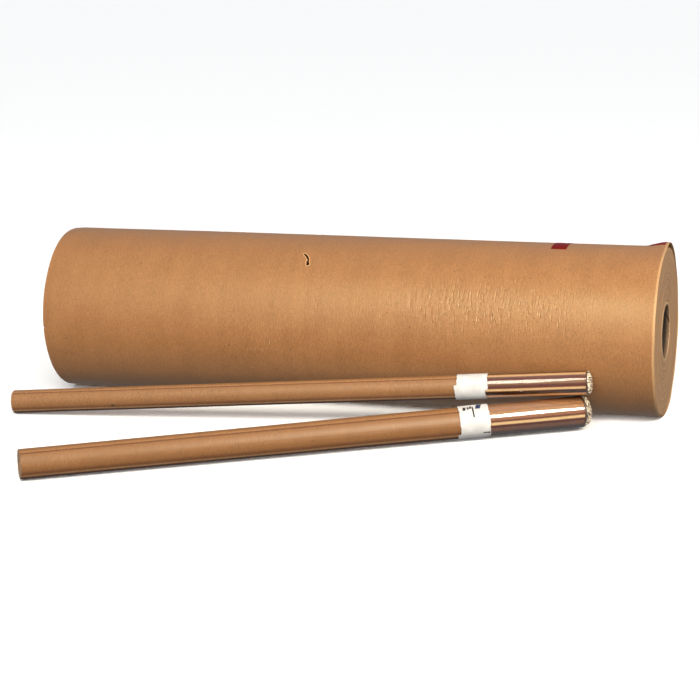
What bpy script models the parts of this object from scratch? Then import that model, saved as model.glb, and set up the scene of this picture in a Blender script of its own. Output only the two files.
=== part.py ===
"""A counter roll of brown wrapping paper on its cardboard core, with two film-wrapped slim rolls beside it.

Metres, +Z up. The origin is on the floor under the middle of the counter roll, whose axis runs along X.
The front of the group faces -Y.
"""
import math

import bmesh
import bpy
from mathutils import Vector

GAP = 0.0003                    # clearance kept between neighbouring pieces

# Counter roll: a standard 900 mm web wound on a 3 inch core
ROLL_LENGTH = 0.900
ROLL_RADIUS = 0.120
CORE_BORE_RADIUS = 0.0381
CORE_WALL = 0.005
WRAP_THICKNESS = 0.001          # the outermost turns, drawn as one layer
END_RECESS = 0.002              # how far the wound paper sits back inside the outer wrap
ROLL_SIDES = 72                 # flat facets round the counter roll, one of them flat on the floor

# Free end of the paper, behind the top of the roll. Angles are in degrees from straight up, + to the back
TAIL_EDGE = 12.5
TAIL_HINGE = 72.5
CORNER_LIFT = 0.005             # the tail's right-hand corner stands up by this much
CORNER_LENGTH = 0.040

# Adhesive tabs that hold the tail down
TAPE_WIDTH = 0.022
TAPE_THICKNESS = 0.0005
TAPE_BACK = 32.5
TAPE_TABS = {"tape_tab_middle": (0.300, -12.5), "tape_tab_end": (0.434, 2.5)}   # centre and front edge

# Slim rolls: end centres, and the film's outer radius at each end
SLIM_SIDES = 24
FILM_THICKNESS = 0.0005
LABEL_THICKNESS = 0.0003
LABEL_WIDTH = 0.047
TUCK_DEPTH = 0.018              # how far the film is pushed into the hole in the middle
FLOOR_CLEARANCE = 0.0009        # room under the front roll for its label band
SLIM_ROLLS = {
    "slim_back": {
        "left": (-0.4588, -0.2075, 0.0174),
        "right": (0.3635, -0.1285, 0.0710),
        "radius_left": 0.017,
        "radius_right": 0.017,
        "hole_radius": 0.005,
        "end_bunch": 0.005,
        "label_at": 0.665,
    },
    "slim_front": {
        "left": (-0.2966, -0.5359, 0.020 + FLOOR_CLEARANCE),
        "right": (0.3563, -0.1111, 0.025 + FLOOR_CLEARANCE),
        "radius_left": 0.020,
        "radius_right": 0.025,
        "hole_radius": 0.006,
        "end_bunch": 0.012,
        "label_at": 0.616,
    },
}

COLOURS = {
    "kraft": ((0.36, 0.19, 0.085), 0.55),
    "kraft_end": ((0.42, 0.26, 0.14), 0.85),
    "board": ((0.50, 0.36, 0.22), 0.85),
    "tape": ((0.32, 0.015, 0.02), 0.25),
    "film": ((0.75, 0.68, 0.58), 0.12),
    "label": ((0.82, 0.81, 0.78), 0.60),
}


def clear_scene():
    for item in list(bpy.data.objects):
        bpy.data.objects.remove(item, do_unlink=True)


def make_material(slot):
    """One matt or glossy coat for each kind of stock."""
    colour, roughness = COLOURS[slot]
    material = bpy.data.materials.new(slot)
    material.use_nodes = True
    shader = material.node_tree.nodes["Principled BSDF"]
    shader.inputs["Base Color"].default_value = (*colour, 1.0)
    shader.inputs["Roughness"].default_value = roughness
    shader.inputs["Metallic"].default_value = 0.0
    return material


def add_object(name, vertices, faces, slot, parent=None):
    """Make one closed solid from its points and faces, and hang it on its parent."""
    mesh = bpy.data.meshes.new(name)
    mesh.from_pydata([tuple(point) for point in vertices], [], faces)
    shape = bmesh.new()
    shape.from_mesh(mesh)
    bmesh.ops.recalc_face_normals(shape, faces=shape.faces)
    shape.to_mesh(mesh)
    shape.free()
    mesh.shade_smooth()
    mesh.set_sharp_from_angle(angle=math.radians(30))
    mesh.materials.append(MATERIALS[slot])
    item = bpy.data.objects.new(name, mesh)
    bpy.context.collection.objects.link(item)
    item.parent = parent
    return item


def add_pivot(name, location, direction=None):
    """An empty that carries one body; its X axis runs along direction."""
    pivot = bpy.data.objects.new(name, None)
    bpy.context.collection.objects.link(pivot)
    pivot.location = location
    if direction is not None:
        pivot.rotation_mode = "QUATERNION"
        pivot.rotation_quaternion = direction.to_track_quat("X", "Z")
    return pivot


def turned_ring(name, profile, sides, slot, parent=None):
    """Turn a closed profile of (x, radius) points about the X axis, with a flat facet straight down."""
    count = len(profile)
    vertices = []
    for step in range(sides):
        angle = 2 * math.pi * (step + 0.5) / sides
        for along, radius in profile:
            vertices.append((along, radius * math.sin(angle), radius * math.cos(angle)))
    faces = []
    for step in range(sides):
        here = step * count
        there = ((step + 1) % sides) * count
        for point in range(count):
            after = (point + 1) % count
            faces.append((here + point, here + after, there + after, there + point))
    return add_object(name, vertices, faces, slot, parent)


def roll_tube(name, length, inner, outer, slot, parent):
    """A straight tube as long as given, centred on its parent. Radii are to the flats of the facets."""
    to_corner = 1 / math.cos(math.pi / ROLL_SIDES)
    half = length / 2
    profile = [(-half, inner * to_corner), (half, inner * to_corner),
               (half, outer * to_corner), (-half, outer * to_corner)]
    return turned_ring(name, profile, ROLL_SIDES, slot, parent)


def facet_angles(start, end):
    """The start, every facet corner between, and the end, in degrees."""
    step = 360 / ROLL_SIDES
    corners = [step * (number + 0.5) for number in range(-ROLL_SIDES, 2 * ROLL_SIDES)]
    return [start] + [corner for corner in corners if start + 0.01 < corner < end - 0.01] + [end]


def facet_radius(flat_radius, angle):
    """Distance from the axis to the faceted surface at an angle in degrees."""
    step = 360 / ROLL_SIDES
    off_centre = (angle + step / 2) % step - step / 2
    return flat_radius / math.cos(math.radians(off_centre))


def corner_lift(along, angle):
    """How far the tail's right-hand corner stands off the roll at this place."""
    start = ROLL_LENGTH / 2 - CORNER_LENGTH
    side = min(max((along - start) / CORNER_LENGTH, 0.0), 1.0)
    reach = abs(angle - TAIL_EDGE) / (25 if angle < TAIL_EDGE else 30)
    round_it = max(0.0, 1.0 - reach)
    return CORNER_LIFT * side * side * round_it * round_it * (3 - 2 * round_it)


def curved_sheet(name, stations, angles, inner, thickness, slot, lifted=False, parent=None, centre=(0, 0, 0)):
    """A closed sheet that follows the roll: stations along X, angles in degrees round it."""
    vertices = []
    for along in stations:
        for angle in angles:
            lift = corner_lift(along, angle) if lifted else 0.0
            for flat_radius in (inner, inner + thickness):
                radius = facet_radius(flat_radius, angle) + lift
                turn = math.radians(angle)
                height = ROLL_RADIUS + radius * math.cos(turn)
                vertices.append((along - centre[0], radius * math.sin(turn) - centre[1], height - centre[2]))
    rows = len(angles)

    def corner(station, row, layer):
        return 2 * (station * rows + row) + layer

    faces = []
    for station in range(len(stations) - 1):
        for row in range(rows - 1):
            for layer in (0, 1):
                faces.append((corner(station, row, layer), corner(station + 1, row, layer),
                              corner(station + 1, row + 1, layer), corner(station, row + 1, layer)))
        for row in (0, rows - 1):
            faces.append((corner(station, row, 0), corner(station + 1, row, 0),
                          corner(station + 1, row, 1), corner(station, row, 1)))
    for row in range(rows - 1):
        for station in (0, len(stations) - 1):
            faces.append((corner(station, row, 0), corner(station, row + 1, 0),
                          corner(station, row + 1, 1), corner(station, row, 1)))
    return add_object(name, vertices, faces, slot, parent)


def build_counter_roll():
    """The core, the wound paper and the outer wrap: everything that stays put."""
    axis = add_pivot("counter_roll_axis", (0, 0, ROLL_RADIUS))
    core_outer = CORE_BORE_RADIUS + CORE_WALL
    wrap_inner = ROLL_RADIUS - WRAP_THICKNESS
    roll_tube("core_tube", ROLL_LENGTH - END_RECESS, CORE_BORE_RADIUS, core_outer, "board", axis)
    roll_tube("wound_paper", ROLL_LENGTH - 2 * END_RECESS, core_outer + GAP, wrap_inner - GAP, "kraft_end", axis)

    seam = math.degrees(GAP / ROLL_RADIUS)
    angles = facet_angles(TAIL_HINGE + seam, 360 + TAIL_EDGE - seam)
    curved_sheet("outer_wrap", [-ROLL_LENGTH / 2, ROLL_LENGTH / 2], angles, wrap_inner, WRAP_THICKNESS, "kraft")


def build_tail():
    """The free end of the paper with its tape tabs, hinged along a line on the back of the roll."""
    turn = math.radians(TAIL_HINGE)
    edge = facet_radius(ROLL_RADIUS, TAIL_HINGE)
    centre = (0.0, edge * math.sin(turn), ROLL_RADIUS + edge * math.cos(turn))
    hinge = add_pivot("tail_hinge", centre)
    lift_from = ROLL_LENGTH / 2 - CORNER_LENGTH
    stations = [-ROLL_LENGTH / 2, lift_from]
    stations += [lift_from + CORNER_LENGTH * step / 5 for step in range(1, 6)]
    angles = facet_angles(TAIL_EDGE, TAIL_HINGE)
    inner = ROLL_RADIUS - WRAP_THICKNESS
    curved_sheet("paper_tail", stations, angles, inner, WRAP_THICKNESS, "kraft", True, hinge, centre)

    for name, (middle, front) in TAPE_TABS.items():
        ends = [middle + TAPE_WIDTH * (step / 4 - 0.5) for step in range(5)]
        curved_sheet(name, ends, facet_angles(front, TAPE_BACK), ROLL_RADIUS + GAP, TAPE_THICKNESS,
                     "tape", True, hinge, centre)


def slim_radius(roll, length, along):
    """The film's outer radius at a place along a slim roll."""
    share = along / length
    return roll["radius_left"] + (roll["radius_right"] - roll["radius_left"]) * share


def build_slim_roll(name, roll):
    """A coreless roll of paper, the clear film round it and the label band that closes the film."""
    left = Vector(roll["left"])
    right = Vector(roll["right"])
    length = (right - left).length
    pivot = add_pivot(name + "_axis", left, right - left)
    hole = roll["hole_radius"]
    bunch = roll["end_bunch"]
    skin = FILM_THICKNESS
    rim_left = roll["radius_left"]
    rim_right = roll["radius_right"]

    paper = [(0.0, hole), (length, hole), (length, rim_right - skin - GAP), (0.0, rim_left - skin - GAP)]
    turned_ring(name + "_paper", paper, SLIM_SIDES, "kraft", pivot)

    inside = [
        (TUCK_DEPTH, hole - GAP),
        (-GAP, hole - GAP),
        (-GAP, rim_left - skin),
        (length + GAP, rim_right - skin),
        (length + GAP, hole - GAP),
        (length - TUCK_DEPTH, hole - GAP),
    ]
    outside = [
        (length - TUCK_DEPTH, hole - GAP - skin),
        (length + bunch, hole - GAP - skin),
        (length + bunch, 0.55 * rim_right),
        (length + 0.4 * bunch, 0.88 * rim_right),
        (length, rim_right),
        (0.0, rim_left),
        (-0.002, 0.8 * rim_left),
        (-0.002, hole - GAP - skin),
        (TUCK_DEPTH, hole - GAP - skin),
    ]
    turned_ring(name + "_film", inside + outside, SLIM_SIDES, "film", pivot)

    label_from = roll["label_at"] - LABEL_WIDTH / 2
    label_to = roll["label_at"] + LABEL_WIDTH / 2
    band = []
    for along, lift in ((label_from, 0), (label_to, 0), (label_to, LABEL_THICKNESS), (label_from, LABEL_THICKNESS)):
        band.append((along, slim_radius(roll, length, along) + GAP + lift))
    turned_ring(name + "_label", band, SLIM_SIDES, "label", pivot)


clear_scene()
MATERIALS = {slot: make_material(slot) for slot in COLOURS}
build_counter_roll()
build_tail()
for roll_name, roll_sizes in SLIM_ROLLS.items():
    build_slim_roll(roll_name, roll_sizes)
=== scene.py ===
"""The looks of a bundle of brown kraft paper: a counter roll on its core and two slim rolls in clear film."""
import math

import bpy
import numpy as np
from mathutils import Matrix, Vector


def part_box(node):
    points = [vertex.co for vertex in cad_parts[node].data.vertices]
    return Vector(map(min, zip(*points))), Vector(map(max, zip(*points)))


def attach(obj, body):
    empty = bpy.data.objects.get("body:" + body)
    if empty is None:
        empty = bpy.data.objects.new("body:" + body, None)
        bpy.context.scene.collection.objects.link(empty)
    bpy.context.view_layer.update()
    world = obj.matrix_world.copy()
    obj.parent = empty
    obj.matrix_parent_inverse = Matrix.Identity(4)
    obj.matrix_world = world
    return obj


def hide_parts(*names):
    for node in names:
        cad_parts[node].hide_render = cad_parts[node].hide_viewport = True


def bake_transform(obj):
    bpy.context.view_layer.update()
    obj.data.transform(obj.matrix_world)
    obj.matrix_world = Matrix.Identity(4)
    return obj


MM = 0.001

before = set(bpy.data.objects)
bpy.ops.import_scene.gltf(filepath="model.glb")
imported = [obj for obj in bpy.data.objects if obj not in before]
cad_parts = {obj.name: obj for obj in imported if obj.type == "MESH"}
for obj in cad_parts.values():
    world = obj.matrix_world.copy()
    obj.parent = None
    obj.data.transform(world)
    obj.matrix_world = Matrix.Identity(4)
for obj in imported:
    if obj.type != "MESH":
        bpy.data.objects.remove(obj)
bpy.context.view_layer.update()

# ---- sizes

wrap_low, wrap_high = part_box("outer_wrap")
ROLL_LENGTH = wrap_high.x - wrap_low.x
ROLL_RADIUS = (wrap_high.z - wrap_low.z) / 2
AXIS_HEIGHT = (wrap_high.z + wrap_low.z) / 2
HALF = ROLL_LENGTH / 2
core_low, core_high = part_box("core_tube")
CORE_OUTER = (core_high.z - core_low.z) / 2
CORE_WALL = 5 * MM
CORE_SEAM_PITCH = 95 * MM

# Angles round the counter roll are in degrees from straight up, positive towards the back
TAIL_EDGE = 12.5
TAIL_FOOT = 95
UNDER_TAIL = 360 + 92
SHEET = 0.30 * MM
TURN_STEP = 0.45 * MM               # the spiral comes in by this much in one turn
CORNER_LIFT = 5.6 * MM              # the outer turn and the tail bulge together at the top right
CORNER_LENGTH = 38 * MM


# ---- numbers and noise

def ripple(seed, count, rounds, pitches):
    """A smooth bumpy field of angle (radians) and length, seamless round the axis, about -1 to 1."""
    random = np.random.default_rng(seed)
    turns = random.integers(rounds[0], rounds[1] + 1, count)
    waves = 2 * math.pi / random.uniform(pitches[0], pitches[1], count) * random.choice((-1, 1), count)
    starts = random.uniform(0, 2 * math.pi, count)

    def field(along, angle):
        total = 0
        for turn, wave, start in zip(turns, waves, starts):
            total = total + np.cos(turn * angle + wave * along + start)
        return total / math.sqrt(count)

    return field


def ease(value, start, end):
    """0 before start, 1 after end, smooth between."""
    share = np.clip((value - start) / (end - start), 0, 1)
    return share * share * (3 - 2 * share)


def graded(start, end, coarse, *fine):
    """Stations from start to end, coarse apart, and closer inside each (from, to, step) stretch."""
    stations = [start]
    while stations[-1] < end - 1e-9:
        here = stations[-1]
        step = min([coarse] + [stretch[2] for stretch in fine if stretch[0] <= here + 1e-9 < stretch[1]])
        ahead = [stretch[0] for stretch in fine if here < stretch[0] < here + step]
        stations.append(min([here + step, end] + ahead))
    return np.array(stations)


# ---- mesh work

def add_mesh(name, points, faces, corner_uv, sharp=50):
    """A smooth-shaded mesh object with one UV per face corner, in metres."""
    mesh = bpy.data.meshes.new(name)
    mesh.from_pydata(points.tolist(), [], faces)
    layer = mesh.uv_layers.new(name="UVMap")
    layer.data.foreach_set("uv", np.asarray(corner_uv, np.float32).ravel())
    mesh.shade_smooth()
    mesh.set_sharp_from_angle(angle=math.radians(sharp))
    item = bpy.data.objects.new(name, mesh)
    bpy.context.scene.collection.objects.link(item)
    return item


def profile_mesh(name, points, across, around, ring, caps=(), sharp=50):
    """A closed mesh from points[k, j]: k runs round a closed profile, j runs round the axis.

    across and around are the surface lengths that the UV map keeps, each with one value more than a closed
    direction has points. A ring joins its last column to its first; a sheet has caps, which are polygons
    of profile numbers, at its first and last column.
    """
    rows, columns = points.shape[:2]
    row, column = np.meshgrid(np.arange(rows), np.arange(columns if ring else columns - 1), indexing="ij")
    corners = ((row, column), (row + 1, column), (row + 1, column + 1), (row, column + 1))
    quads = np.stack([(r % rows) * columns + c % columns for r, c in corners], -1).reshape(-1, 4)
    uv = np.stack([np.stack([around[c], across[r]], -1) for r, c in corners], -2).reshape(-1, 4, 2)
    flat = points.reshape(-1, 3)
    a, b, c, d = (flat[quads[:, corner]] - flat.mean(0) for corner in range(4))
    inside_out = np.sum(a * (np.cross(b, c) + np.cross(c, d))) < 0
    if inside_out:
        quads, uv = quads[:, ::-1], uv[:, ::-1]
    faces, corner_uv = quads.tolist(), [uv.reshape(-1, 2)]
    for polygon in caps:
        for column_number in (0, columns - 1):
            order = polygon if (column_number == 0) == inside_out else polygon[::-1]
            faces.append([number * columns + column_number for number in order])
            corner_uv.append(np.array([(around[column_number], across[number]) for number in order]))
    return add_mesh(name, flat, faces, np.concatenate(corner_uv), sharp)


def paint_rows(item, first, last, columns, slot):
    """Give the faces from one profile row to another the material in a slot."""
    for polygon in item.data.polygons[first * columns:last * columns]:
        polygon.material_index = slot


def running_length(points):
    """Distance run along a closed list of (x, radius) points, starting at 0 and coming back to the first."""
    loop = np.vstack([points, points[:1]])
    steps = np.hypot(*np.diff(loop, axis=0).T)
    return np.concatenate([[0], np.cumsum(steps)])


def resampled(outline, longest):
    """An (x, radius) outline with points added so that no step is longer than asked."""
    dense = [outline[0]]
    for here, there in zip(outline[:-1], outline[1:]):
        count = max(1, math.ceil(math.dist(here, there) / longest))
        dense += [tuple(np.add(here, np.subtract(there, here) * k / count)) for k in range(1, count + 1)]
    return np.array(dense)


# ---- counter roll: shape

broad_bumps = ripple(11, 14, (1, 5), (0.22, 0.90))
soft_bumps = ripple(12, 22, (4, 13), (0.06, 0.28))
gauge_bands = ripple(13, 12, (0, 1), (0.014, 0.075))
slow_bands = ripple(14, 6, (0, 2), (0.10, 0.40))
edge_wave = ripple(15, 7, (1, 6), (0.3, 0.9))
edge_ruffle = ripple(16, 9, (5, 17), (0.05, 0.2))


def scattered_dents():
    """Short dents pressed in along the turns: (x, angle, half-length, half-width, depth, bend)."""
    random = np.random.default_rng(21)
    dents = []
    for _ in range(110):
        dents.append((random.normal(0.20, 0.09), random.normal(-64, 11)))
    for _ in range(26):
        dents.append((random.normal(-0.16, 0.06), random.normal(-84, 12)))
    for _ in range(70):
        dents.append((random.uniform(-0.43, 0.43), random.uniform(-180, 180)))
    shaped = []
    for along, angle in dents:
        shaped.append((along, angle, random.uniform(4, 11) * MM, random.uniform(1.1, 2.4) * MM,
                       random.uniform(0.10, 0.42) * MM, random.uniform(-0.035, 0.035)))
    return shaped


DENTS = scattered_dents()

# A small tear in the outer turn: its path as (x, angle, half-width) points
TEAR = ((-0.0621, -31.0, 1.3 * MM), (-0.0576, -33.2, 1.5 * MM), (-0.0546, -35.6, 1.5 * MM),
        (-0.0543, -38.4, 2.0 * MM), (-0.0528, -40.2, 2.5 * MM))


def near(value, centre, reach):
    """Whether each value is closer to the centre than reach."""
    return np.abs(value - centre) < reach


def wrapped(angle, centre):
    """Difference of two angles in degrees, from -180 to 180."""
    return (angle - centre + 180) % 360 - 180


def dent_relief(along, angle):
    """The dents' depth at each place of a grid of rows along the roll and columns round it."""
    total = np.zeros(np.broadcast(along, angle).shape)
    for x, turn, length, width, depth, bend in DENTS:
        rows = np.flatnonzero(near(along[:, 0], x, 5 * width))
        columns = np.flatnonzero(near(wrapped(angle[0], turn), 0, math.degrees(3 * length / ROLL_RADIUS)))
        if not len(rows) or not len(columns):
            continue
        run = np.radians(wrapped(angle[np.ix_(rows, columns)], turn)) * ROLL_RADIUS
        off = along[rows] - x - bend * (run / length) ** 2 * length
        shape = np.exp(-(run / length) ** 2) * (np.exp(-(off / width) ** 2)
                                                - 0.55 * np.exp(-((off - 2.1 * width) / width) ** 2))
        total[np.ix_(rows, columns)] -= depth * shape
    return total


def tear_gap(along, angle):
    """Distance over the surface to the edge of the tear, negative inside it."""
    nearest = np.full(np.broadcast(along, angle).shape, 1.0)
    run = np.radians(wrapped(angle, 0)) * ROLL_RADIUS
    for (x0, a0, half0), (x1, a1, half1) in zip(TEAR[:-1], TEAR[1:]):
        start = np.array((x0, math.radians(a0) * ROLL_RADIUS))
        reach = np.array((x1, math.radians(a1) * ROLL_RADIUS)) - start
        share = np.clip(((along - start[0]) * reach[0] + (run - start[1]) * reach[1]) / (reach @ reach), 0, 1)
        apart = np.hypot(along - start[0] - share * reach[0], run - start[1] - share * reach[1])
        nearest = np.minimum(nearest, apart - half0 - (half1 - half0) * share)
    return nearest


def tear_relief(along, angle):
    """The tear: a shallow hollow with its lips turned up on both sides."""
    gap = tear_gap(along, angle)
    lip = np.exp(-((gap - 0.9 * MM) / (0.8 * MM)) ** 2)
    return 0.45 * MM * lip - 0.40 * MM * (1 - ease(gap, -0.8 * MM, 0.4 * MM))


def roll_relief(along, angle):
    """How far the paper stands off its true round shape at each place."""
    turn = np.radians(angle)
    relief = 0.30 * MM * broad_bumps(along, turn) + 0.055 * MM * soft_bumps(along, turn)
    relief = relief + 0.045 * MM * gauge_bands(along, turn) + 0.10 * MM * slow_bands(along, turn)
    relief = relief - 0.15 * MM + dent_relief(along, angle) + tear_relief(along, angle)
    right_edge = ease(along, HALF - 16 * MM, HALF)
    flare = 0.9 * MM * (0.55 + 0.45 * edge_wave(along, turn)) + 0.16 * MM * edge_ruffle(along, turn)
    left_edge = ease(-along, HALF - 10 * MM, HALF)
    tuck = -0.5 * MM + 0.2 * MM * edge_wave(along, turn + 2)
    notch = -1.6 * MM * np.exp(-(wrapped(angle, -95.4) / 0.9) ** 2) * ease(-along, HALF - 4 * MM, HALF)
    return relief + flare * right_edge + tuck * left_edge + notch


def edge_shift(along, angle):
    """The cut edges aren't quite straight: how far they run out or in along the roll."""
    turn = np.radians(angle)
    right_edge = ease(along, HALF - 12 * MM, HALF)
    left_edge = ease(-along, HALF - 12 * MM, HALF)
    wander = 0.5 * MM * edge_wave(along, turn + 1) + 0.12 * MM * edge_ruffle(along, turn)
    return wander * (right_edge + left_edge)


def corner_lift(along, angle):
    """How far the paper stands off the roll at the tail's right-hand corner."""
    off = wrapped(angle, TAIL_EDGE)
    reach = np.where(off < 0, -off / 24, off / 34)
    return CORNER_LIFT * ease(along, HALF - CORNER_LENGTH, HALF - 6 * MM) * ease(1 - reach, 0, 1)


def turn_radius(angle):
    """The outer turn's spiral: widest at the tail's edge, a little less all the way round."""
    return ROLL_RADIUS - TURN_STEP * (angle - TAIL_EDGE) / 360


def on_roll(along, radius, angle):
    """Points (x, y, z) at places along the roll, distances from its axis and angles in degrees."""
    along, radius, angle = np.broadcast_arrays(along, radius, angle)
    turn = np.radians(angle)
    height = np.maximum(AXIS_HEIGHT + radius * np.cos(turn), 0.1 * MM)
    return np.stack([along, radius * np.sin(turn), height], -1)


def rolled_sheet(name, stations, angles, thickness, lift=0.0, toothed=0.0, stride=6):
    """A sheet that lies on the roll at lift above its outer turn, with plain or toothed ends."""
    along = stations[:, None]
    angle = np.tile(angles, (len(stations), 1))
    teeth = toothed * np.abs((stations / (1.5 * MM)) % 2 - 1)
    angle[:, 0] -= teeth
    angle[:, -1] += teeth
    outer = turn_radius(angle) + roll_relief(along, angle) + lift
    if lift:
        outer = outer - TURN_STEP * ease(TAIL_EDGE - angle, 0.0, 2.5)
    outer = outer + corner_lift(along, angle)
    shifted = along + edge_shift(along, angle)
    picks = sorted(set(range(0, len(stations), stride)) | {len(stations) - 1})
    inner = on_roll(shifted[picks], outer[picks] - thickness, angle[picks])
    points = np.concatenate([on_roll(shifted, outer, angle), inner[::-1]])
    across = np.concatenate([stations, stations[picks][::-1], stations[:1]])
    around = np.radians(np.append(angles, angles[-1])) * ROLL_RADIUS
    last = len(points) - 1
    caps = []
    for number, (here, there) in enumerate(zip(picks[:-1], picks[1:])):
        caps.append(list(range(here, there + 1)) + [last - number - 1, last - number])
    return profile_mesh(name, points, across, around, False, caps)


def build_outer_turn():
    """The outer turn of paper, all but its free end, and the turn under the tail."""
    left_edge, right_edge = (-HALF, -HALF + 9 * MM, 1.0 * MM), (HALF - 42 * MM, HALF, 1.5 * MM)
    tear_along, tear_round = (-67 * MM, -47 * MM, 0.5 * MM), (360 - 43.5, 360 - 28.0, 0.3)
    dents_along, dents_round = (60 * MM, 340 * MM, 2.0 * MM), (360 - 88, 360 - 20, 1.2)
    notch_round = (263, 266, 0.4)
    stations = graded(-HALF, HALF, 4.5 * MM, left_edge, tear_along, dents_along, right_edge)
    angles = graded(TAIL_FOOT, UNDER_TAIL, 2.4, notch_round, dents_round, tear_round)
    sheet = rolled_sheet("outer_turn", stations, angles, SHEET)
    sheet.data.materials.append(kraft_material("kraft_outer"))
    sheet.data.materials.append(plain_material("tear_shadow", TEAR_SHADOW, 1.0, 1.01))
    sheet.data.materials.append(plain_material("tear_lip", TEAR_LIP, 0.80))
    face_x, face_angle = ((edges[1:] + edges[:-1]) / 2 for edges in (stations, angles))
    gap = tear_gap(face_x[:, None], face_angle[None, :])
    for slot, part in ((1, gap < 0), (2, (gap >= 0) & (gap < 1.4 * MM))):
        for number in np.flatnonzero(part):
            sheet.data.polygons[int(number)].material_index = slot
    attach(sheet, "counter_roll")
    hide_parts("outer_wrap")


def build_tail():
    """The free end of the paper, lying on the roll with its right-hand corner lifted, and its tape tabs."""
    left_edge, right_edge = (-HALF, -HALF + 12 * MM, 1.5 * MM), (HALF - 60 * MM, HALF, 1.5 * MM)
    stations = graded(-HALF, HALF, 5 * MM, left_edge, right_edge)
    angles = graded(TAIL_EDGE, TAIL_FOOT, 1.5)
    sheet = rolled_sheet("free_end", stations, angles, SHEET)
    sheet.data.materials.append(kraft_material("kraft_tail"))
    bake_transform(sheet)
    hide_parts("paper_tail")

    tape = tape_material()
    for node in ("tape_tab_middle", "tape_tab_end"):
        low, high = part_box(node)
        stations = graded(low.x, high.x, 0.75 * MM)
        front = math.degrees(math.atan2(low.y, high.z - AXIS_HEIGHT))
        angles = graded(front, 32.0, 1.0, (9, 14, 0.4))
        tab = rolled_sheet("red_" + node, stations, angles, 0.15 * MM, 0.28 * MM, 0.45, 1)
        tab.data.materials.append(tape)
        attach(tab, "tail")
        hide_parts(node)


# ---- counter roll: end and core

PAPER_GROUP = 1.3 * MM              # the turns are drawn in groups this thick
paper_wave = ripple(31, 8, (1, 5), (0.3, 0.9))


def end_relief(radius, turn, seed):
    """How far the cut end stands in or out: groups of turns slipped a little, in a spiral."""
    random = np.random.default_rng(seed)
    slips = np.convolve(random.normal(0, 1, 90), (0.3, 1.0, 0.3), "same")
    group = radius / PAPER_GROUP - turn / (2 * math.pi)
    number = np.floor(group).astype(int) % 88
    share = group - np.floor(group)
    step = ease(share, 0.80, 1.0)
    slip = slips[number] * (1 - step) + slips[number + 1] * step
    groove = np.exp(-((share - 0.9) / 0.10) ** 2)
    dish = 0.6 * MM * ease(radius, 0.05, 0.115)
    return 0.13 * MM * slip - 0.22 * MM * groove + dish + 0.12 * MM * paper_wave(radius * 3, turn)


def build_wound_paper():
    """The body of the roll: its side under the outer turn, its two cut ends and the hole for the core."""
    low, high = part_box("wound_paper")
    side = (high.z - low.z) / 2 - 0.5 * MM
    hole = CORE_OUTER + 0.5 * MM
    columns = 240
    turn = np.arange(columns) * 2 * math.pi / columns
    radii = graded(hole, side, 0.55 * MM)
    sides = graded(low.x + 1.5 * MM, high.x - 1.5 * MM, 20 * MM)
    rows, profile = [], []
    for face, order, seed in ((1, radii[::-1], 41), (-1, radii, 42)):
        face_x = high.x if face > 0 else low.x
        for radius in order:
            rim = ease(radius, side - 1.6 * MM, side)
            loose = 0.8 * MM * np.clip(np.cos(turn - math.radians(320)), 0, 1) * ease(radius, 0.062, hole)
            spread = radius + (0.25 * MM * paper_wave(0.1, turn) + loose) * (1 - rim)
            depth = end_relief(radius, turn, seed) + 0.6 * MM - 0.5 * MM * rim
            rows.append(np.stack([face_x + face * depth, spread, turn], -1))
            profile.append((face_x, radius))
        if face > 0:
            for x in (high.x - 4 * MM, low.x + 4 * MM):
                rows.append(np.stack([np.full(columns, x), np.full(columns, hole), turn], -1))
                profile.append((x, hole))
    for x in sides:
        rows.append(np.stack([np.full(columns, x), side + 0.1 * MM * paper_wave(x, turn), turn], -1))
        profile.append((x, side))
    grid = np.array(rows)
    points = on_roll(grid[..., 0], grid[..., 1], np.degrees(grid[..., 2]))
    around = np.append(turn, 2 * math.pi) * ROLL_RADIUS
    body = profile_mesh("paper_turns", points, running_length(np.array(profile)), around, True)
    body.data.materials.append(cut_paper_material("paper_ends", AXIS_HEIGHT, PAPER_GROUP))
    body.data.materials.append(kraft_material("kraft_under"))
    paint_rows(body, len(profile) - len(sides), len(profile) - 1, columns, 1)
    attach(body, "counter_roll")
    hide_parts("wound_paper")


def build_core():
    """The cardboard core: a spiral seam in its bore, and ends that show its plies."""
    columns = 128
    turn = np.arange(columns) * 2 * math.pi / columns
    inner, outer = CORE_OUTER - CORE_WALL, CORE_OUTER
    end = core_high.x
    near_end = ((end - 70 * MM, end, 1.3 * MM), (-end, -end + 70 * MM, 1.3 * MM))
    bore = graded(-end + 0.6 * MM, end - 0.6 * MM, 12 * MM, *near_end)
    outline = [(x, inner) for x in bore]
    outline += [(end, inner + 0.5 * MM)] + [(end, inner + CORE_WALL * k / 6) for k in range(1, 6)]
    outline += [(end - 0.4 * MM, outer), (-end + 0.4 * MM, outer)]
    outline += [(-end, outer - CORE_WALL * k / 6) for k in range(1, 6)] + [(-end, inner + 0.5 * MM)]
    outline = np.array(outline)
    x, radius = outline[:, :1], outline[:, 1:]
    seam = (x / CORE_SEAM_PITCH - turn[None, :] / (2 * math.pi)) % 1.0
    groove = np.exp(-((seam - 0.5) * CORE_SEAM_PITCH / (1.1 * MM)) ** 2) * (radius < inner + 0.1 * MM)
    plies = 0.16 * MM * np.sin((radius - inner) / CORE_WALL * 2 * math.pi * 3) * (np.abs(x) > end - 0.1 * MM)
    oval = 0.25 * MM * np.cos(2 * turn[None, :] + 0.7)
    shifted_x = x + np.sign(x) * (plies + 0.25 * MM * paper_wave(radius * 5, turn[None, :] + 1)
                                  * (np.abs(x) > end - 0.1 * MM))
    points = on_roll(shifted_x, radius + 0.45 * MM * groove + oval, np.degrees(turn)[None, :])
    around = np.append(turn, 2 * math.pi) * CORE_OUTER
    tube = profile_mesh("core_board", points, running_length(outline), around, True)
    tube.data.materials.append(board_material(end))
    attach(tube, "counter_roll")
    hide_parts("core_tube")


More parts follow.
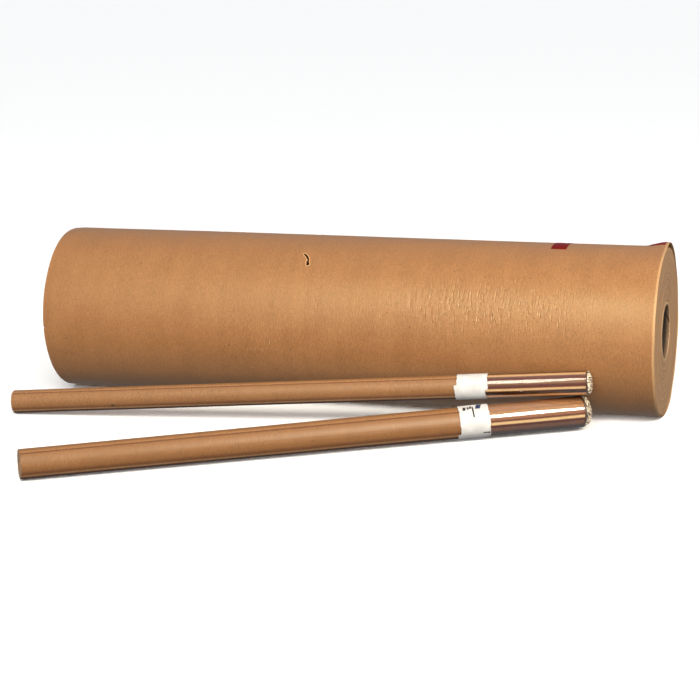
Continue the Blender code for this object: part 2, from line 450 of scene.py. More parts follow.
# ---- slim rolls

SLIM_EDGE = math.radians(-31)       # the free edge of each slim roll's sheet
SLIM_GROUP = 1.1 * MM               # its turns are drawn in groups this thick

# How each slim roll's paper departs from its CAD nodes (short at the right, slimmer there by taper, lifted
# by rise), how far its gathered film reaches past the paper (tip), and how its label band lies: the turn of
# the band's free edge in degrees, its shift along the roll and its bow
SLIM_ROLLS = {
    "slim_back": {"seed": 51, "short": 1.0 * MM, "taper": 1.0, "rise": 0.0, "tip": 4.6 * MM,
                  "band_turn": -70, "band_shift": 2 * MM, "band_bow": 0.0},
    "slim_front": {"seed": 61, "short": 8.0 * MM, "taper": 0.895, "rise": 0.8 * MM, "tip": 11.5 * MM,
                   "band_turn": -122, "band_shift": -3 * MM, "band_bow": 4.5 * MM},
}


def own_frame(node, place):
    """A CAD node's points as (distance along, distance from the axis) in a slim roll's own frame."""
    points = np.array([v.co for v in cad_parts[node].data.vertices])
    local = np.array(place.inverted()) @ np.vstack([points.T, np.ones(len(points))])
    return local[0], np.hypot(local[1], local[2])


def slim_frame(name):
    """A slim roll's own frame (X along it, Z up) and its sizes, all taken from its CAD nodes."""
    corners = np.array([v.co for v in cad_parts[name + "_paper"].data.vertices])
    points = np.unique(corners.round(6), axis=0)
    axis = np.linalg.svd(points - points.mean(0), full_matrices=False)[2][0]
    axis = axis * np.sign(axis[0])
    along = points @ axis
    left, right = (Vector(points[near(along, edge, 0.1 * MM)].mean(0)) for edge in (along.min(), along.max()))
    direction = (right - left).normalized()
    side = Vector((0, 0, 1)).cross(direction).normalized()
    place = Matrix.Translation(left) @ Matrix((direction, side, direction.cross(side))).transposed().to_4x4()
    length = (right - left).length
    film_x, film_off = own_frame(name + "_film", place)
    label_x, _ = own_frame(name + "_label", place)
    own = SLIM_ROLLS[name]
    return {**own, "name": name, "body": "slim_roll_" + name[5:],
            "place": Matrix.Translation((0, 0, own["rise"])) @ place,
            "length": length - own["short"], "hole": film_off.min(), "label": (label_x.min(), label_x.max()),
            "left": film_off[near(film_x, 0, 0.1 * MM)].max(),
            "right": own["taper"] * film_off[near(film_x, length, 0.1 * MM)].max()}


def film_radius(roll, x):
    """The film's radius at a place along a slim roll."""
    return roll["left"] + (roll["right"] - roll["left"]) * x / roll["length"]


def slim_points(x, radius, turn):
    """Points in a slim roll's own frame; turn is in radians from straight up, positive to the back."""
    x, radius, turn = np.broadcast_arrays(x, radius, turn)
    return np.stack([x, radius * np.sin(turn), radius * np.cos(turn)], -1)


def seat(item, roll, part):
    """Put a piece made in a slim roll's own frame where the roll is, in place of its CAD node."""
    item.matrix_world = roll["place"]
    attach(item, roll["body"])
    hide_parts(roll["name"] + part)


def build_slim_paper(roll):
    """A coreless roll of paper, with the free edge of the sheet showing as a long step."""
    length = roll["length"]
    columns, side_rows, end_rows = 96, 61, 22
    turn = SLIM_EDGE + np.insert(np.arange(columns) * 2 * math.pi / columns, 1, 0.02)
    hole = roll["hole"] + 0.6 * MM
    left, right = film_radius(roll, 0) - 0.40 * MM, film_radius(roll, length) - 0.40 * MM
    outline = [(x, left + (right - left) * x / length) for x in np.linspace(0, length, side_rows)]
    outline += [(length, right + (hole - right) * k / end_rows) for k in range(1, end_rows + 1)]
    outline += [(length - 20 * MM, hole), (20 * MM, hole)]
    outline += [(0.0, hole + (left - hole) * k / end_rows) for k in range(end_rows)]
    outline = np.array(outline)
    x, radius = outline[:, :1], outline[:, 1:]
    outside = np.arange(len(outline))[:, None] < side_rows
    share = ((turn - SLIM_EDGE) / (2 * math.pi))[None, :] % 1.0
    share[:, 0] = 1.0
    wave = ripple(roll["seed"], 9, (1, 4), (0.12, 0.6))
    step = -0.35 * MM * (1 - share)
    spread = radius + np.where(outside, step + 0.08 * MM * wave(x, turn[None, :]), 0)
    spiral = np.sin(2 * math.pi * (radius / SLIM_GROUP - turn[None, :] / (2 * math.pi)))
    face = (np.minimum(x, length - x) < 0.1 * MM) & ~outside
    out = np.where(x > length / 2, 1, -1) * face * (0.22 * MM * spiral - 0.3 * MM)
    points = slim_points(x + out, spread, turn[None, :])
    around = np.append(turn, turn[0] + 2 * math.pi) * right
    paper = profile_mesh(roll["name"] + "_sheet", points, running_length(outline), around, True)
    paper.data.materials.append(slim_paper_material(roll))
    paper.data.materials.append(cut_paper_material(roll["name"] + "_ends", 0.0, SLIM_GROUP))
    paint_rows(paper, side_rows - 1, len(outline) - 1, len(turn), 1)
    seat(paper, roll, "_paper")


def film_outline(roll):
    """The film's profile (x, radius): tucked into both holes, gathered over the right-hand end."""
    length, hole, tip, left, right = (roll[key] for key in ("length", "hole", "tip", "left", "right"))
    outline = [(15 * MM, hole), (-1.0 * MM, hole + 0.4 * MM), (-1.5 * MM, 0.45 * left),
               (-1.5 * MM, 0.80 * left), (-0.9 * MM, 0.95 * left), (0.4 * MM, 0.995 * left)]
    outline += [(x, film_radius(roll, x)) for x in np.linspace(3 * MM, length - 6 * MM, 100)]
    sides = resampled(outline, 9 * MM)
    gathered = [(length - 5.0 * MM, right), (length - 0.5 * MM, right), (length + 0.16 * tip, 0.965 * right),
                (length + 0.50 * tip, 0.88 * right), (length + 0.82 * tip, 0.74 * right),
                (length + tip, 0.58 * right), (length + 0.95 * tip, 0.44 * right),
                (length + 0.50 * tip, hole + 2.2 * MM), (length - 1.0 * MM, hole + 0.6 * MM)]
    gathered = resampled(gathered, 0.8 * MM)
    tuck = np.array([(length - 8 * MM, hole), (length - 15 * MM, hole)])
    return np.vstack([sides, gathered, tuck]), len(sides)


def build_slim_film(roll):
    """Clear film drawn round the roll: creased lengthwise where it's tight, pleated over the ends."""
    length, tip, hole, right, seed = (roll[key] for key in ("length", "tip", "hole", "right", "seed"))
    outline, end_row = film_outline(roll)
    columns = 180
    turn = (np.arange(columns) * 2 * math.pi / columns)[None, :]
    x, radius = outline[:, :1], outline[:, 1:]
    row = np.arange(len(outline))[:, None]
    random = np.random.default_rng(seed + 5)
    tight = ease(x, roll["label"][0] - 20 * MM, roll["label"][1])
    creases = 0
    for _ in range(30):
        centre, drift = random.uniform(0, 2 * math.pi), random.uniform(-0.12, 0.12)
        width, height = math.radians(random.uniform(2.0, 4.5)), random.uniform(0.05, 0.16) * MM
        start = random.uniform(0.0, 0.8) * length
        swing = (turn - centre - drift * x / length + math.pi) % (2 * math.pi) - math.pi
        creases = creases + height * np.exp(-(swing / width) ** 2) * ease(x, start, start + 0.1 * length)
    facets = 0.020 * MM * (1.5 + ripple(seed + 6, 6, (5, 11), (0.5, 2.0))(x, turn)) * tight
    on_side = (row > 5) & (row < end_row + 6)
    side = 0.05 * MM + facets + creases * (0.8 - 0.65 * tight)
    right_end = ease(row, end_row + 4, end_row + 14) * ease(-radius, -0.97 * right, -0.80 * right)
    off_hole = ease(radius, hole, 1.6 * hole)
    right_end = np.maximum(right_end, 0.30 * ease(row, end_row + 2, end_row + 8)) * off_hole
    left_end = (1 - ease(row, 3, 6)) * off_hole
    fold = np.abs(np.sin(10 * turn + 1.6 * np.sin(2 * turn + seed) + 25 * (radius - right)))
    crumple = ripple(seed + 7, 16, (5, 27), (0.003, 0.012))(radius * 1.3 + x, turn)
    pleats = right_end * (0.030 * radius * (fold - 0.75) + 0.20 * MM * crumple)
    pleats = pleats + left_end * (0.03 * radius * (fold - 0.65) + 0.10 * MM * crumple)
    push = right_end * 0.09 * tip * (1.3 * fold + crumple - 1.3) - left_end * 0.25 * MM * (fold - 0.6)
    spread = radius + np.where(on_side, side, 0) + pleats
    inward = 0.06 * MM * np.where(radius > 1.3 * hole, 1, -1)
    outer, inner = slim_points(x + push, spread, turn), slim_points(x + push, spread - inward, turn)
    run = running_length(outline)[:-1]
    across = np.concatenate([run, run[::-1], run[:1]])
    around = np.append(turn, 2 * math.pi) * right
    film = profile_mesh(roll["name"] + "_clear_film", np.concatenate([outer, inner[::-1]]), across, around,
                        True, (), 70)
    film.data.materials.append(film_material(roll))
    seat(film, roll, "_film")


def build_label(roll):
    """A white paper band round the film; its end laps over its start, a little out of line."""
    label_turn, shift = math.radians(roll["band_turn"]), roll["band_shift"]
    start, end = roll["label"][0] + 2.6 * MM + shift, roll["label"][1] - 2.0 * MM + shift
    stations = np.linspace(start, end, 25)[:, None]
    turn = np.linspace(label_turn - 2 * math.pi - math.radians(27), label_turn, 150)[None, :]
    share = (turn - turn[0, 0]) / (2 * math.pi)
    middle = (start + end) / 2
    at_edge = np.abs(stations - middle) > 21 * MM
    ragged = 0.30 * MM * ripple(78, 8, (3, 19), (0.02, 0.06))(0.01, turn) * at_edge
    x = stations - 3.8 * MM * (share - 0.5) + ragged * np.sign(stations - middle)
    x = x - roll["band_bow"] * np.cos(turn + math.radians(78))
    wave = 0.10 * MM * ripple(77, 8, (1, 6), (0.02, 0.09))(x, turn)
    curl = 0.40 * MM * ease(share, share.max() - 0.03, share.max())
    radius = film_radius(roll, x) + 0.45 * MM + 0.25 * MM * share + curl + wave
    outer, inner = slim_points(x, radius, turn), slim_points(x, radius - 0.14 * MM, turn)
    rows = len(stations)
    caps = [[k, k + 1, 2 * rows - 2 - k, 2 * rows - 1 - k] for k in range(rows - 1)]
    across = (stations - start)[:, 0]
    across = np.concatenate([across, across[::-1], across[:1]])
    girth = film_radius(roll, start)
    around = np.append(turn - turn[0, 0], turn[0, -1] - turn[0, 0]) * girth
    points = np.concatenate([outer, inner[::-1]])
    band = profile_mesh(roll["name"] + "_band", points, across, around, False, caps)
    inked = roll["name"] == "slim_front"
    band.data.materials.append(label_material(roll["name"] + "_label", inked, turn[0, 0], girth))
    seat(band, roll, "_label")


def build_slim_roll(name):
    """Build one slim roll: paper, film and label band."""
    roll = slim_frame(name)
    build_slim_paper(roll)
    build_slim_film(roll)
    build_label(roll)


# ---- materials

class Shader:
    """A Principled material under construction. Values given to a node may be sockets, which are linked."""

    def __init__(self, name):
        self.material = bpy.data.materials.new(name)
        self.material.use_nodes = True
        self.tree = self.material.node_tree
        self.shader = self.tree.nodes["Principled BSDF"]

    def add(self, kind, settings=None, **values):
        node = self.tree.nodes.new("ShaderNode" + kind)
        for key, value in (settings or {}).items():
            setattr(node, key, value)
        for key, value in values.items():
            self.feed(node.inputs[int(key[1:]) if key[0] == "_" else key.replace("_", " ")], value)
        return node

    def feed(self, socket, value):
        if isinstance(value, bpy.types.NodeSocket):
            self.tree.links.new(value, socket)
        elif isinstance(value, tuple) and len(value) == 3 and socket.type == "RGBA":
            socket.default_value = (*value, 1.0)
        else:
            socket.default_value = value

    def set(self, **values):
        for key, value in values.items():
            self.feed(self.shader.inputs[key.replace("_", " ")], value)

    def math(self, operation, first, second=0.0):
        return self.add("Math", {"operation": operation}, _0=first, _1=second).outputs[0]

    def plus(self, first, second):
        return self.math("ADD", first, second)

    def minus(self, first, second):
        return self.math("SUBTRACT", first, second)

    def times(self, first, second):
        return self.math("MULTIPLY", first, second)

    def off(self, value, centre):
        """How far a value is from a centre, either way."""
        return self.math("ABSOLUTE", self.minus(value, centre))

    def spread(self, value, low, high, to_low=0.0, to_high=1.0):
        """Carry value from low..high to to_low..to_high, clamped, with soft ends."""
        node = self.add("MapRange", {"interpolation_type": "SMOOTHSTEP"}, _0=value, _1=low, _2=high,
                        _3=to_low, _4=to_high)
        return node.outputs[0]

    def mix(self, share, first, second, blend="MIX"):
        node = self.add("Mix", {"data_type": "RGBA", "blend_type": blend})
        self.feed(node.inputs[0], share)
        self.feed(node.inputs[6], first)
        self.feed(node.inputs[7], second)
        return node.outputs[2]

    def parts(self, vector):
        return self.add("SeparateXYZ", None, _0=vector).outputs

    def surface(self):
        """The UV map in metres: round the piece, then along it."""
        return self.add("UVMap", {"uv_map": "UVMap"}).outputs[0]

    def place(self):
        return self.add("TexCoord").outputs["Object"]

    def noise(self, coordinates, scale, detail=2.0, roughness=0.5):
        """Noise whose scale is in lumps per metre along each coordinate."""
        moved = self.add("Mapping", None, _0=coordinates, _3=scale).outputs[0]
        node = self.add("TexNoise", None, Vector=moved, Scale=1.0, Detail=detail, Roughness=roughness)
        return node.outputs[0]

    def bump(self, height, depth, strength=1.0, under=None):
        node = self.add("Bump", None, Strength=strength, Distance=depth, Height=height)
        if under is not None:
            self.feed(node.inputs["Normal"], under)
        return node.outputs[0]


# Colours. Where two stand in a pair, a pattern mixes them
KRAFT_LIGHT = (0.272, 0.120, 0.045)
KRAFT_DARK = (0.143, 0.060, 0.021)
KRAFT_SPECK = (0.060, 0.022, 0.012)
KRAFT_SHEEN = (1.0, 0.97, 0.62)
# KRAFT_GLINT is a painted highlight colour, for the glints on the cockles and the band along the right-hand
# edge
KRAFT_GLINT = (0.520, 0.330, 0.160)
CUT_DARK, CUT_LIGHT = (0.160, 0.086, 0.040), (0.340, 0.192, 0.092)
# The bore's colours are kept dark as painted shade for the inside of the hole
BORE_DARK, BORE_LIGHT = (0.105, 0.058, 0.030), (0.165, 0.098, 0.052)
BORE_SEAM, BORE_DEPTH_SHADE = (0.040, 0.022, 0.012), (0.012, 0.007, 0.004)
PLY_DARK, PLY_LIGHT = (0.220, 0.125, 0.062), (0.400, 0.250, 0.130)
TAPE_DARK, TAPE_LIGHT = (0.075, 0.001, 0.001), (0.135, 0.002, 0.001)
LABEL_DARK, LABEL_LIGHT = (0.385, 0.365, 0.340), (0.445, 0.430, 0.410)
FILM_DARK, FILM_MILKY = (0.045, 0.030, 0.020), (0.66, 0.55, 0.40)
TEAR_SHADOW, TEAR_LIP = (0.004, 0.002, 0.002), (0.360, 0.190, 0.075)
FOLD_SHADOW = (0.05, 0.03, 0.03)
PALE_FLOOR = (0.97, 0.97, 0.97)

# Patches of the counter roll's paper that are cockled: turn in degrees, place along, half-sizes, strength
COCKLED = (
    (-66, 0.230, 0.060, 0.170, 1.0),
    (-98, -0.100, 0.050, 0.080, 0.45),
    (-80, 0.020, 0.070, 0.120, 0.25),
)


def kraft_base(made, coordinates):
    """Brown kraft: cloudy stock with fibres drawn out along the web, fine grain and a few dark specks."""
    cloud = made.noise(coordinates, (20, 24, 1), 4, 0.55)
    streaks = made.noise(coordinates, (110, 700, 1), 3, 0.6)
    bands = made.noise(coordinates, (1.2, 70, 1), 2, 0.5)
    grain = made.noise(coordinates, (420, 520, 1), 2, 0.6)
    tone = 0.0
    for part, weight in ((cloud, 0.12), (streaks, 0.34), (bands, 0.08), (grain, 0.46)):
        tone = made.plus(tone, made.times(made.spread(part, 0.32, 0.68), weight))
    colour = made.mix(tone, KRAFT_DARK, KRAFT_LIGHT)
    moved = made.add("Mapping", None, _0=coordinates, _3=(48, 70, 1)).outputs[0]
    cells = made.add("TexVoronoi", None, Vector=moved, Scale=1.0)
    chosen = made.spread(made.parts(cells.outputs["Color"])[0], 0.55, 0.60)
    specks = made.times(made.spread(cells.outputs["Distance"], 0.085, 0.040), chosen)
    return made.mix(made.times(specks, 0.75), colour, KRAFT_SPECK), streaks, grain, cloud


def cockled_share(made, coordinates):
    """How strongly the paper is cockled at a place: 0 to 1, soft at the edges of the patches."""
    around, along = made.parts(coordinates)[0:2]
    total = 0.0
    for turn, place, half_round, half_along, strength in COCKLED:
        off_around = made.off(around, math.radians(360 + turn) * ROLL_RADIUS)
        off_along = made.off(along, place)
        inside = made.times(made.spread(off_around, half_round, 0.2 * half_round),
                            made.spread(off_along, half_along, 0.3 * half_along))
        total = made.math("MAXIMUM", total, made.times(inside, strength))
    return total


def kraft_material(name):
    """Machine-glazed kraft for the outside of the counter roll: satin, cockled where it was knocked, with
    painted glints on the cockles and a painted highlight along its right-hand edge.
    """
    made = Shader(name)
    coordinates = made.surface()
    colour, streaks, grain, cloud = kraft_base(made, coordinates)
    cockled = cockled_share(made, coordinates)
    cockles = made.noise(coordinates, (95, 330, 1), 2, 0.55)
    dashes = made.spread(made.noise(coordinates, (85, 400, 1), 1, 0.5), 0.56, 0.72)
    depth = made.plus(made.times(cockled, 0.9), 0.10)
    # Painted highlights: lighter glint dashes on the cockles, and a painted highlight band along the
    # right-hand edge
    other_side = made.add("Mapping", None, _0=coordinates, _1=(0.0, 2.4 * MM, 0.0)).outputs[0]
    glints = made.spread(made.noise(other_side, (85, 400, 1), 1, 0.5), 0.60, 0.76)
    edge_highlight = made.spread(made.parts(coordinates)[1], HALF - 4.0 * MM, HALF - 2.5 * MM, 0.0, 0.35)
    shine = made.math("MAXIMUM", made.times(made.times(glints, cockled), 0.42), edge_highlight)
    made.set(Base_Color=made.mix(shine, colour, KRAFT_GLINT), IOR=1.6, Specular_Tint=KRAFT_SHEEN,
             Roughness=made.spread(cloud, 0.3, 0.7, 0.40, 0.50))
    fine = made.bump(grain, 0.10 * MM, 0.7)
    fine = made.bump(streaks, 0.12 * MM, 0.6, fine)
    fine = made.bump(made.times(cockles, depth), 0.70 * MM, 1.0, fine)
    made.set(Normal=made.bump(made.times(dashes, cockled), 0.55 * MM, 1.0, fine))
    return made.material


def plain_material(name, colour, roughness, ior=1.5):
    made = Shader(name)
    made.set(Base_Color=colour, Roughness=roughness, IOR=ior)
    return made.material


# Painted reflections and painted shade in lengthwise stripes on the tight part of each slim roll: (one or
# more turns in degrees from straight up, tint of the paper under the film there)
PAINTED_FILM_REFLECTIONS = {
    "slim_back": ((-180, (0.12, 0.08, 0.08)), (-154, (0.20, 0.14, 0.14)),
                  (-149, -133, (3.80, 4.00, 4.00)), (-128, (0.35, 0.25, 0.25)),
                  (-122, -110, (0.12, 0.06, 0.06)), (-106, (0.60, 0.50, 0.50)),
                  (-103, -96, (2.20, 3.20, 4.00)), (-92, (0.60, 0.45, 0.50)),
                  (-88, -77, (0.28, 0.10, 0.12)), (-73, -55, (0.60, 0.60, 0.60)),
                  (-51, (0.36, 0.16, 0.20)), (-38, (0.30, 0.12, 0.14)), (-33, (0.80, 0.75, 0.75)),
                  (-29, -17, (1.90, 2.50, 2.90)), (-11, (0.60, 0.50, 0.50)), (-5, (0.22, 0.12, 0.10)),
                  (0, (0.18, 0.09, 0.08))),
    "slim_front": ((-180, (0.10, 0.06, 0.06)), (-140, (0.12, 0.07, 0.07)), (-128, (0.22, 0.15, 0.15)),
                   (-122, (0.50, 0.42, 0.55)), (-110, (0.52, 0.46, 0.60)), (-106, (0.26, 0.10, 0.10)),
                   (-99, (0.24, 0.09, 0.10)), (-95, (2.10, 3.10, 4.00)), (-89, (2.10, 3.20, 4.00)),
                   (-85, (0.42, 0.24, 0.26)), (-81, (0.36, 0.18, 0.20)), (-77, -71, (0.75, 0.62, 0.66)),
                   (-67, (0.42, 0.24, 0.28)), (-63, (0.50, 0.40, 0.42)), (-59, -50, (1.10, 1.20, 1.30)),
                   (-45, (0.80, 0.76, 0.80)), (-38, (1.05, 1.10, 1.20)), (-28, (1.00, 1.00, 1.10)),
                   (-18, (0.70, 0.62, 0.62)), (-8, (0.45, 0.33, 0.33)), (0, (0.30, 0.20, 0.20))),
}
# The same for the rest of its length, where the film hardly clings: a painted shadow line with a lighter
# strip beside it at the sheet's edge, a painted reflection along the film's seam low down and painted shade
# underneath
PAINTED_SEAM_SHADE = ((-180, (0.30, 0.20, 0.18)), (-150, (0.40, 0.28, 0.28)), (-138, (0.42, 0.30, 0.28)),
         (-134, -127, (1.50, 1.80, 2.20)), (-123, -115, (0.72, 0.62, 0.60)), (-107, (0.94, 0.92, 0.90)),
         (-80, (1.00, 1.00, 1.00)), (-40, (1.02, 1.02, 1.02)), (-37, (0.85, 0.80, 0.80)),
         (-34, -31, (0.62, 0.50, 0.52)), (-29, -22, (1.35, 1.40, 1.40)), (-16, (1.10, 1.10, 1.05)),
         (0, (0.95, 0.92, 0.90)))
TINT_RANGE = 4.0
# How much darker the paper of each roll is along that loose part
LOOSE_SHADE = {"slim_back": (0.87, 0.90, 0.94), "slim_front": (0.77, 0.76, 0.71)}
# A small dark stain on the back roll: place along, turn, half-size, colour
STAIN = (0.1516, math.radians(-114), 2.3 * MM, (0.010, 0.016, 0.009))


def tint_ramp(made, turn, stops):
    """A tint by the angle round a slim roll, the same on both sides, divided by TINT_RANGE to fit a ramp."""
    either = made.times(made.math("ABSOLUTE", turn), -1 / math.pi)
    node = made.add("ValToRGB", None, _0=made.plus(either, 1.0))
    ramp = node.color_ramp
    spots = [(degrees, tint) for *turns, tint in stops for degrees in turns]
    for number, (degrees, tint) in enumerate(spots):
        spot = (degrees + 180) / 180
        element = ramp.elements[number] if number < 2 else ramp.elements.new(spot)
        element.position = spot
        element.color = (*(value / TINT_RANGE for value in tint), 1)
    return node.outputs[0]


def slim_paper_material(roll):
    """Kraft seen through film, with painted reflections and painted shade in lengthwise stripes on the tight
    part, painted light and shade along the seam elsewhere, and a painted shadow where the film turns over the
    right-hand end.
    """
    made = Shader(roll["name"] + "_kraft")
    colour, streaks, grain = kraft_base(made, made.surface())[:3]
    x, y, z = made.parts(made.place())[0:3]
    turn = made.math("ARCTAN2", y, z)
    wander = made.minus(made.noise(made.place(), (5, 1, 1), 2, 0.5), 0.5)
    bent = made.plus(turn, made.times(wander, 0.10))
    tight = made.spread(x, roll["label"][0], roll["label"][1])
    # The tints are painted light and shade by the turn round the roll: seam lines on the loose part,
    # reflection stripes on the tight part
    loose = made.mix(1.0, tint_ramp(made, bent, PAINTED_SEAM_SHADE), LOOSE_SHADE[roll["name"]], "MULTIPLY")
    tint = made.mix(tight, loose, tint_ramp(made, bent, PAINTED_FILM_REFLECTIONS[roll["name"]]))
    fold = made.spread(x, roll["length"] - 3.0 * MM, roll["length"] - 1.8 * MM)
    tint = made.mix(fold, tint, FOLD_SHADOW)
    whole = made.mix(1.0, tint, (TINT_RANGE, TINT_RANGE, TINT_RANGE), "MULTIPLY")
    colour = made.mix(1.0, whole, colour, "MULTIPLY")
    if roll["name"] == "slim_back":
        place, centre, half, ink = STAIN
        off_round = made.times(made.minus(turn, centre), roll["left"])
        off_along = made.minus(x, place)
        apart = made.plus(made.times(off_round, off_round), made.times(off_along, off_along))
        colour = made.mix(made.spread(apart, half ** 2, 0.4 * half ** 2), colour, ink)
    made.set(Base_Color=colour, Roughness=0.55, IOR=1.35, Specular_Tint=KRAFT_SHEEN)
    made.set(Normal=made.bump(streaks, 0.06 * MM, 0.5, made.bump(grain, 0.05 * MM, 0.5)))
    return made.material


def axis_distance(made, height):
    """Distance of a point from an axis along X at the given height, and its angle round that axis."""
    _, y, z = made.parts(made.place())[0:3]
    z = made.minus(z, height)
    squares = made.plus(made.times(y, y), made.times(z, z))
    return made.math("SQRT", squares), made.math("ARCTAN2", y, z)


def cut_paper_material(name, height, pitch):
    """The cut edges of many turns: fine rings of light and dark, greyer and more matt than the sheet."""
    made = Shader(name)
    radius, angle = axis_distance(made, height)
    spiral = made.minus(radius, made.times(angle, pitch / (2 * math.pi)))
    spot = made.add("CombineXYZ", None, _0=spiral, _1=angle).outputs[0]
    rings = made.noise(spot, (2600, 1.5, 1), 2, 0.65)
    groups = made.noise(spot, (330, 0.7, 1), 2, 0.6)
    smudge = made.noise(made.place(), (40, 40, 40), 3, 0.5)
    tone = made.plus(made.times(made.spread(rings, 0.32, 0.68), 0.45),
                     made.times(made.spread(groups, 0.3, 0.7), 0.35))
    tone = made.plus(tone, made.times(smudge, 0.20))
    made.set(Base_Color=made.mix(tone, CUT_DARK, CUT_LIGHT), Roughness=0.82)
    made.set(Normal=made.bump(rings, 0.16 * MM, 0.7))
    return made.material


def board_material(end):
    """Grey-brown board in a spiral: plies on the cut ends, the seam and a faint nap in the bore, with painted
    shade darkening the bore further in.
    """
    made = Shader("core_board")
    radius, angle = axis_distance(made, AXIS_HEIGHT)
    plies = made.noise(made.add("CombineXYZ", None, _0=radius, _1=angle).outputs[0], (1500, 2.0, 1), 2, 0.6)
    along = made.parts(made.place())[0]
    turn = made.minus(made.math("DIVIDE", along, CORE_SEAM_PITCH), made.math("DIVIDE", angle, 2 * math.pi))
    seam = made.off(made.math("FRACT", turn), 0.5)
    nap = made.noise(made.place(), (420, 420, 420), 3, 0.6)
    cut_end = made.spread(made.math("ABSOLUTE", along), end - 1.0 * MM, end - 0.3 * MM)
    bore = made.mix(made.spread(nap, 0.3, 0.7), BORE_DARK, BORE_LIGHT)
    bore = made.mix(made.spread(seam, 0.020, 0.010), bore, BORE_SEAM)
    # Painted shade: the bore gets darker further in from each end
    depth_shade = made.spread(made.math("ABSOLUTE", along), end - 1.5 * MM, end - 7 * MM)
    bore = made.mix(depth_shade, bore, BORE_DEPTH_SHADE)
    layered = made.mix(made.spread(plies, 0.35, 0.65), PLY_DARK, PLY_LIGHT)
    made.set(Base_Color=made.mix(cut_end, bore, layered), Roughness=0.80)
    made.set(Normal=made.bump(nap, 0.20 * MM, 0.6))
    return made.material


def tape_material():
    """Glossy red film tape, a little lighter where it isn't stuck down hard."""
    made = Shader("red_tape")
    wet = made.noise(made.surface(), (160, 220, 1), 3, 0.6)
    made.set(Base_Color=made.mix(made.spread(wet, 0.35, 0.65), TAPE_DARK, TAPE_LIGHT),
             Roughness=made.spread(wet, 0.3, 0.7, 0.35, 0.50), IOR=1.10)
    made.set(Normal=made.bump(wet, 0.08 * MM, 0.4))
    return made.material


def film_material(roll):
    """Clear film: it mirrors by the angle, dull where it's slack, whitish where it's gathered at the ends."""
    made = Shader(roll["name"] + "_film")
    x = made.parts(made.place())[0]
    tight = made.spread(x, roll["label"][0], roll["label"][1])
    streak = made.noise(made.surface(), (420, 7, 1), 3, 0.6)
    creased = made.bump(streak, 0.04 * MM, 0.15)
    made.set(Base_Color=(1.0, 1.0, 1.0), Metallic=1.0, Roughness=made.spread(tight, 0.0, 1.0, 0.45, 0.08))
    made.set(Normal=creased)
    clear = made.add("BsdfTransparent", None, _0=(1.0, 1.0, 1.0))
    facing = made.add("Fresnel", None, IOR=1.50, Normal=creased).outputs[0]
    mirror = made.math("MINIMUM", facing, made.spread(tight, 0.0, 1.0, 0.012, 0.10))
    sheet = made.add("MixShader", None, _0=mirror, _1=clear.outputs[0], _2=made.shader.outputs[0])
    speckle = made.noise(made.place(), (420, 420, 420), 2, 0.6)
    clouded = made.mix(made.spread(speckle, 0.42, 0.58), FILM_DARK, FILM_MILKY)
    milky = made.add("BsdfPrincipled", None, Roughness=0.25, IOR=1.5, Base_Color=clouded)
    length, tip = roll["length"], roll["tip"]
    right_end = made.spread(x, length - 0.4 * MM, length + 0.2 * tip, 0.0, 0.85)
    left_end = made.spread(x, 0.5 * MM, -1.2 * MM, 0.0, 0.06)
    uneven = made.spread(streak, 0.2, 0.75, 0.8, 1.15)
    haze = made.times(made.plus(right_end, left_end), uneven)
    whole = made.add("MixShader", None, _0=haze, _1=sheet.outputs[0], _2=milky.outputs[0])
    made.tree.links.new(whole.outputs[0], made.tree.nodes["Material Output"].inputs[0])
    return made.material


# Pen strokes on the front label: (turn in degrees, place along, half-sizes round and along, lean, colour)
STROKES = (
    (-22, 8.0 * MM, 4.0 * MM, 2.6 * MM, 0.2, (0.010, 0.006, 0.006)),
    (-20, 13.3 * MM, 3.2 * MM, 1.7 * MM, 0.0, (0.015, 0.010, 0.010)),
    (-16, 17.0 * MM, 3.6 * MM, 1.6 * MM, 0.1, (0.010, 0.006, 0.006)),
    (-37, 20.0 * MM, 10.5 * MM, 1.4 * MM, 0.0, (0.010, 0.006, 0.006)),
    (-10, 29.0 * MM, 7.0 * MM, 4.4 * MM, 0.35, (0.004, 0.014, 0.050)),
    (-122, 36.5 * MM, 1.7 * MM, 6.0 * MM, 0.1, (0.010, 0.006, 0.006)),
)


def label_material(name, inked, first_turn, girth):
    """White paper with a soft nap; one band has a few plain pen strokes on it."""
    made = Shader(name)
    coordinates = made.surface()
    nap = made.noise(coordinates, (700, 700, 1), 3, 0.6)
    soil = made.noise(coordinates, (60, 60, 1), 3, 0.5)
    colour = made.mix(made.spread(soil, 0.3, 0.7), LABEL_DARK, LABEL_LIGHT)
    around, along = made.parts(coordinates)[0:2]
    for turn, place, half_round, half_along, lean, ink in STROKES if inked else ():
        off_round = made.minus(around, (math.radians(turn - 360) - first_turn) * girth)
        off_along = made.minus(made.minus(along, place), made.times(off_round, lean))
        wide = made.spread(made.math("ABSOLUTE", off_round), half_round, 0.75 * half_round)
        long = made.spread(made.math("ABSOLUTE", off_along), half_along, 0.65 * half_along)
        colour = made.mix(made.times(wide, long), colour, ink)
    made.set(Base_Color=colour, Roughness=0.58)
    made.set(Normal=made.bump(nap, 0.06 * MM, 0.4))
    return made.material


# ---- camera, lights and floor

CAMERA_ROLL = math.radians(-0.79)


def build_camera():
    """A long lens from the front right, a little above the rolls, tilted a touch to one side."""
    eye = Vector((0.8449, -2.8767, 0.7198))
    aim = Vector((0.0301, -0.1500, 0.1050))
    data = bpy.data.cameras.new("camera")
    data.lens = 107.27
    data.sensor_width = 36
    data.clip_end = 200
    camera = bpy.data.objects.new("camera", data)
    bpy.context.scene.collection.objects.link(camera)
    look = (aim - eye).to_track_quat("-Z", "Y").to_matrix()
    camera.matrix_world = Matrix.Translation(eye) @ (look @ Matrix.Rotation(CAMERA_ROLL, 3, "Z")).to_4x4()
    bpy.context.scene.camera = camera


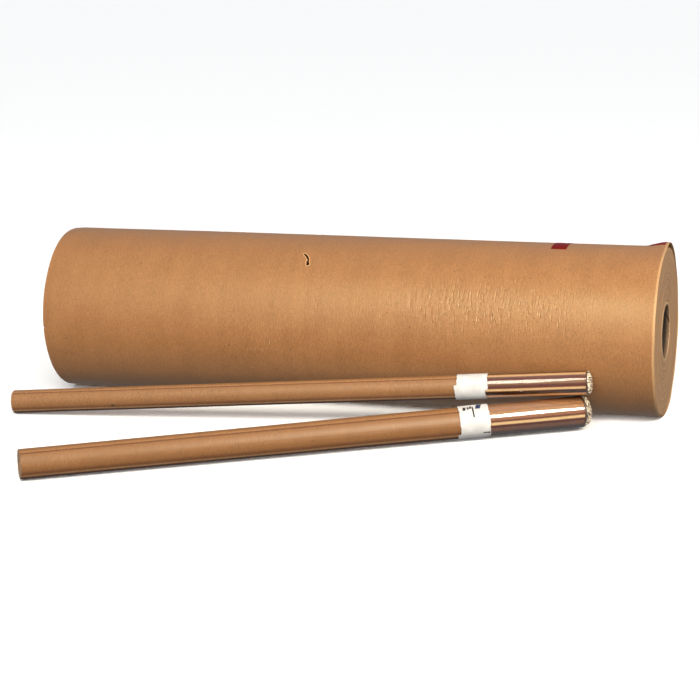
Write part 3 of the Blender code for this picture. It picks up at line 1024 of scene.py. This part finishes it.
def area_light(name, place, aim, size, power):
    data = bpy.data.lights.new(name, "AREA")
    data.shape = "RECTANGLE"
    data.size, data.size_y = size
    data.energy = power
    data.color = (1.0, 0.93, 0.80)
    lamp = bpy.data.objects.new(name, data)
    bpy.context.scene.collection.objects.link(lamp)
    lamp.location = place
    lamp.rotation_mode = "QUATERNION"
    lamp.rotation_quaternion = (Vector(aim) - Vector(place)).to_track_quat("-Z", "Y")


def build_lights():
    """A wide soft sun, two soft boxes for the film's highlights, and a pale sky that is dimmer low down."""
    sun = bpy.data.lights.new("key", "SUN")
    sun.energy = 4.2
    sun.angle = math.radians(50)
    sun.color = (1.0, 0.985, 0.96)
    key = bpy.data.objects.new("key", sun)
    bpy.context.scene.collection.objects.link(key)
    key.rotation_mode = "QUATERNION"
    key.rotation_quaternion = Vector((-0.190, 0.890, -0.410)).to_track_quat("-Z", "Y")
    key.visible_glossy = False
    area_light("softbox", (-0.07, -1.78, 1.58), (0.30, -0.10, 0.10), (0.60, 1.15), 22)
    area_light("side_box", (1.70, -1.20, 1.28), (0.30, -0.15, 0.08), (0.50, 0.70), 50)
    world = bpy.data.worlds.new("studio")
    bpy.context.scene.world = world
    world.use_nodes = True
    nodes, links = world.node_tree.nodes, world.node_tree.links
    height = nodes.new("ShaderNodeSeparateXYZ")
    links.new(nodes.new("ShaderNodeTexCoord").outputs["Generated"], height.inputs[0])
    shade = nodes.new("ShaderNodeMapRange")
    links.new(height.outputs[2], shade.inputs[0])
    shade.inputs[1].default_value, shade.inputs[2].default_value = -0.15, 0.25
    shade.inputs[3].default_value, shade.inputs[4].default_value = 0.32, 0.50
    links.new(shade.outputs[0], nodes["Background"].inputs[1])
    nodes["Background"].inputs[0].default_value = (0.93, 0.96, 1.0, 1)
    bpy.context.scene.view_settings.view_transform = "Standard"


def build_floor():
    """A wide pale floor that takes the shadows and throws no light back on the rolls."""
    mesh = bpy.data.meshes.new("floor")
    reach = 60
    mesh.from_pydata([(-reach, -reach, 0), (reach, -reach, 0), (reach, reach, 0), (-reach, reach, 0)], [],
                     [(0, 1, 2, 3)])
    mesh.materials.append(plain_material("pale_floor", PALE_FLOOR, 0.9))
    floor = bpy.data.objects.new("floor", mesh)
    bpy.context.scene.collection.objects.link(floor)
    floor.visible_diffuse = False
    floor.visible_glossy = False


# ---- the object

build_camera()
build_lights()
build_floor()
build_outer_turn()
build_tail()
build_wound_paper()
build_core()
for slim_name in SLIM_ROLLS:
    build_slim_roll(slim_name)
